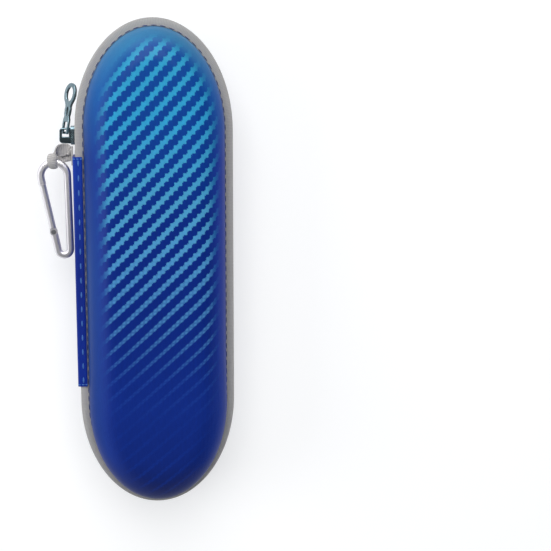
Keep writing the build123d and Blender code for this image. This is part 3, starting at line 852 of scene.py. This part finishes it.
for side, half in halves:
    leather = strip_piece(f"{half}_spine_leather", side, strip_section, strip_foot, strip_top, strip_skin)
    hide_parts(f"{half}_spine_flange", "spine_strip")
    behind = strip_piece(
        f"{half}_spine_backing", side, backing_section, strip_foot + 0.2, strip_top - 0.2, strip_backing
    )
    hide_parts("spine_lining")
    fold_over(half, leather, behind)
    sewn_at = parting + side * stitch_height
    line = [(stitch_x, stitch_start + stitch_step * k, sewn_at) for k in range(stitch_steps)]
    stitches = grow(
        f"{half}_strip_stitches",
        guide_lines(f"{half}_strip_guide", [line]),
        bead_row,
        {
            "Pitch": stitch_pitch * mm,
            "Length": 3.1 * mm,
            "Width": 0.8 * mm,
            "Height": 0.62 * mm,
            "Finish": strip_thread,
        },
    )
    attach(stitches, half)
    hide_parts(f"{half}_spine_stitches")
    # A few stitches go across each end of the strip.
    ends = [[(-38.6 + 0.5 * k, end, sewn_at) for k in range(8)] for end in (strip_top - 0.9, strip_foot + 0.9)]
    bars = grow(
        f"{half}_strip_bars",
        guide_lines(f"{half}_bar_guide", ends),
        bead_row,
        {"Pitch": 1.6 * mm, "Length": 1.5 * mm, "Width": 0.6 * mm, "Height": 0.55 * mm, "Finish": strip_thread},
    )
    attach(bars, half)


# ---- closed ends of the zip --------------------------------------------------------------------
# Beyond the strip the two tapes stay joined for 15 mm at each end. They are sewn in under the strip,
# and a metal stop is clamped over the teeth beside it.

stop_metal = cloudy("stop_metal", 0.3, 1.0, tone(150, 154, 156), tone(196, 200, 202), 900.0, 3.0, 0.02 * mm)
tab_risers = [0.02] + [0.4 * k for k in range(1, 21)]
tongue_risers = [max(h, 0.62) for h in tab_risers[1:]]
tab_section = [(-37.0, h) for h in tab_risers] + [(-36.2, h) for h in tab_risers[::-1]]
tongue_section = [(-37.0, h) for h in tongue_risers] + [(-36.2, h) for h in tongue_risers[::-1]]

for direction, place, start, reach in ((1, "upper", strip_top, tab_top), (-1, "lower", strip_foot, tab_foot)):
    tucked, slit = start - 4 * direction, start + 4.4 * direction
    for side, half in halves:
        tab_run, tongue_run = sorted((tucked, slit)), sorted((slit, reach))
        tab = strip_piece(f"{place}_{half}_tab", side, tab_section, *tab_run, tape_weave)
        tongue = strip_piece(f"{place}_{half}_tongue", side, tongue_section, *tongue_run, tape_weave)
        fold_over(half, tab, tongue)
        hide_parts(f"{place}_zip_end")
        shift = 0.0 if side > 0 else tooth_pitch / 2
        begin, row_length, row_step = start + direction * (2.9 + shift), 12.0 - shift, 0.3
        line = [
            (-37.5, begin + direction * row_step * k, parting + side * tooth_rise)
            for k in range(int(row_length / row_step))
        ]
        teeth = grow(
            f"{place}_{half}_end_teeth", guide_lines(f"{place}_{half}_guide", [line]), bead_row, tooth_sizes
        )
        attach(teeth, "spine")


def dress_node(name, made):
    """Gives a piece of the frame its finish."""
    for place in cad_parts[name].material_slots:
        place.material = made


for name in ("upper_zip_stop", "lower_zip_stop"):
    dress_node(name, stop_metal)


# ---- slider and pull ---------------------------------------------------------------------------
# Cast zinc, plated and polished. The pull swings on the slider's bridge: it has a window at the
# root, a short slot in its waist and an oval eye at its end.

chrome = cloudy("teal_silver_plating", 0.16, 1.0, tone(58, 86, 96), tone(150, 168, 176), 220.0, 3.0, 0.05 * mm)
dress_node("zip_slider", chrome)


def oval(cy, rx, ry, count=32, start=0.0, stop=2 * pi):
    """Points round an oval on the Y axis, or round a share of it."""
    angles = [start + (stop - start) * k / count for k in range(count)]
    return [(rx * cos(a), cy + ry * sin(a)) for a in angles]


def slot_hole(cy, wide, tall):
    """Points round a slot with round ends."""
    r = wide / 2
    top = oval(cy + tall / 2 - r, r, r, 8, 0, pi) + [(-r, cy + tall / 2 - r)]
    return top + oval(cy - tall / 2 + r, r, r, 8, pi, 2 * pi) + [(r, cy - tall / 2 + r)]


def cut_plate(name, contours, thick, edge, placed, made):
    """A plate cut out along closed contours, the first one outside, with rounded edges."""
    flat = bpy.data.curves.new(name, "CURVE")
    flat.dimensions = "2D"
    flat.fill_mode = "BOTH"
    flat.extrude = (thick / 2 - edge) * mm
    flat.bevel_depth = edge * mm
    flat.offset = -edge * mm
    flat.bevel_resolution = 3
    for contour in contours:
        line = flat.splines.new("POLY")
        line.points.add(len(contour) - 1)
        for point, (x, y) in zip(line.points, contour):
            point.co = (x * mm, y * mm, 0, 1)
        line.use_cyclic_u = True
    source = bpy.data.objects.new(name + "_cut", flat)
    bpy.context.collection.objects.link(source)
    mesh = bpy.data.meshes.new_from_object(source.evaluated_get(bpy.context.evaluated_depsgraph_get()))
    bpy.data.objects.remove(source)
    mesh.transform(placed)
    mesh.materials.clear()
    mesh.materials.append(made)
    mesh.name = name
    close_up(mesh, 35)
    piece = bpy.data.objects.new(name, mesh)
    bpy.context.collection.objects.link(piece)
    return piece


pull_roll, pull_lean = 34.0, 11.5
pull_place = Matrix.Translation((-0.0428684, 0.0651, 0.03))
pull_place @= Matrix.Rotation(radians(pull_roll - 90), 4, "Y") @ Matrix.Rotation(radians(-pull_lean), 4, "X")
side_line = [(2.5, -0.35), (2.55, 5.2), (2.5, 6.6), (2.05, 7.5), (1.95, 8.3), (2.3, 9.1), (2.4, 11.6)]
side_line += [(2.15, 12.6), (2.4, 13.6), (3.05, 14.7)]
outside = [(2.2, -0.6)] + side_line + oval(18.9, 4.7, 5.4, 26, -0.66, pi + 0.66)
outside += [(-3.7, 15.6)] + [(-x, y) for x, y in side_line[::-1]] + [(-2.2, -0.6)]
window = [(-1.6, 0.6), (1.6, 0.6), (1.6, 5.3), (-1.6, 5.3)]
openings = [window[::-1], slot_hole(10.4, 1.3, 4.2)[::-1], oval(18.9, 2.8, 3.5)[::-1]]
pull = cut_plate("oval_eye_pull", [outside] + openings, 1.4, 0.36, pull_place, chrome)
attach(pull, "pull")
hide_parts("zip_pull")

low_corner, high_corner, corner_turns = 1.6, 1.4, [pi / 12 * k for k in range(1, 6)]
bridge_side = [(-39.9, 59.9), (-44.0, 60.1)]
bridge_side += [(-44.0 - low_corner * sin(a), 61.7 - low_corner * cos(a)) for a in corner_turns]
bridge_side += [(-45.6, 61.7), (-45.5, 66.0)]
bridge_side += [(-44.1 - high_corner * cos(a), 66.0 + high_corner * sin(a)) for a in corner_turns]
bridge_side += [(-44.1, 67.4), (-39.9, 67.6)]
bridge_hole = [(-41.0, 63.2), (-43.9, 63.2), (-44.3, 63.6), (-44.3, 66.3), (-43.9, 66.7), (-41.0, 66.7)]
on_parting = Matrix.Translation((0, 0, parting * mm))
bridge = cut_plate("slider_bridge", [bridge_side, bridge_hole], 1.3, 0.3, on_parting, chrome)
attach(bridge, "slider")


# ---- snap hook ---------------------------------------------------------------------------------
# Bent aluminium bar, tumbled to a satin finish. The gate turns on a riveted pin and is pushed shut
# by a small wire spring in the foot.

satin = cloudy("satin_aluminium", 0.36, 1.0, tone(196, 194, 199), tone(236, 234, 238), 160.0, 5.0, 0.03 * mm)
wire, wire_tree, wire_shader = finish("spring_wire", 0.35, 1.0)
wire_cloud = node(wire_tree, "ShaderNodeTexNoise", {"Scale": 900.0}).outputs[0]
wire_tree.links.new(
    tint(wire_tree, wire_cloud, tone(120, 122, 124), tone(160, 162, 164)), wire_shader.inputs["Base Color"]
)
for name in ("snap_hook", "hook_gate"):
    dress_node(name, satin)
for name in ("gate_pin", "gate_spring"):
    dress_node(name, wire)


# ---- hanging loop ------------------------------------------------------------------------------
# Narrow grey webbing. Both of its ends are sewn to the end of the strip; it passes through the bow
# of the hook and is creased over it.

webbing = ribbed("grey_webbing", tone(138, 135, 133), tone(206, 202, 199), 0.9 * mm, 0.16 * mm)


def ribbon(name, path, wides, widths, thick, made):
    """A cupped ribbon through points in millimetres. wides and widths give, at each point, where its
    width lies and what it is."""
    line, lies, spans, cup = [], [], [], 0.55
    count = len(path)
    for k in range(count - 1):
        for step in range(10 if k < count - 2 else 11):
            t = step / 10
            a, b, c, d = (Vector(path[min(max(k + o, 0), count - 1)]) for o in (-1, 0, 1, 2))
            bend, twist = 2 * a - 5 * b + 4 * c - d, 3 * b - a - 3 * c + d
            line.append(0.5 * (2 * b + (c - a) * t + bend * t * t + twist * t**3))
            lies.append(Vector(wides[k]).lerp(Vector(wides[k + 1]), t).normalized())
            spans.append(widths[k] + (widths[k + 1] - widths[k]) * t)
    rows, coords, run = [], [], 0.0
    for k, (spot, lie) in enumerate(zip(line, lies)):
        run += (spot - line[k - 1]).length if k else 0
        ahead = (line[min(k + 1, len(line) - 1)] - line[max(k - 1, 0)]).normalized()
        lie = (lie - ahead * lie.dot(ahead)).normalized()
        up = ahead.cross(lie)
        half, rise = spans[k] / 2, thick / 2
        shape = [(-half, 0), (-half + 0.2, rise), (-half * 0.5, rise), (0, rise), (half * 0.5, rise)]
        shape += [(half - 0.2, rise), (half, 0), (half - 0.2, -rise), (half * 0.5, -rise), (0, -rise)]
        shape += [(-half * 0.5, -rise), (-half + 0.2, -rise)]
        rows.append([tuple(spot + lie * w + up * (h - cup * (w / half) ** 2)) for w, h in shape])
        round_it = [w for w, h in shape[:7]] + [2 * half - w for w, h in shape[7:]]
        coords.append([(run, w) for w in round_it + [3 * half]])
    return lay_rows(name, rows, coords, made, round_points=True)


loop_path = [(-40.6, 56.2, 32.2), (-40.8, 56.3, 31.3), (-42.3, 57.1, 31.0), (-45.6, 56.9, 31.7)]
loop_path += [(-48.4, 55.3, 32.7), (-49.3, 52.8, 33.1), (-49.1, 50.2, 32.6), (-48.8, 48.2, 30.9)]
loop_path += [(-48.8, 48.1, 29.2), (-48.6, 49.8, 27.5), (-47.9, 51.6, 27.3), (-46.2, 52.9, 28.2)]
loop_path += [(-44.0, 53.5, 28.9), (-41.6, 53.9, 29.2), (-40.0, 53.9, 29.0), (-39.75, 53.9, 27.4)]
loop_lies = [(0, 1, 0), (0, 1, 0), (0, 1, 0.1), (0.3, 1, 0.25), (0.8, 0.75, 0.3), (1, 0.35, 0.15)]
loop_lies += [(1, 0.1, 0), (1, 0, 0), (1, 0, 0), (1, 0, 0), (1, 0.25, -0.1), (0.7, 0.8, -0.1)]
loop_lies += [(0.25, 1, -0.2), (0, 1, 0), (0, 1, 0), (0, 1, 0)]
loop_widths = [3.4, 3.9, 6.0, 6.6, 5.8, 5.1, 4.6, 4.2, 4.2, 4.3, 4.5, 5.0, 5.5, 5.6, 5.4, 5.4]
hanging = ribbon("webbing_loop", loop_path, loop_lies, loop_widths, 0.75, webbing)
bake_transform(hanging)
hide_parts("hang_loop")
dress_node("hang_loop_anchor", webbing)
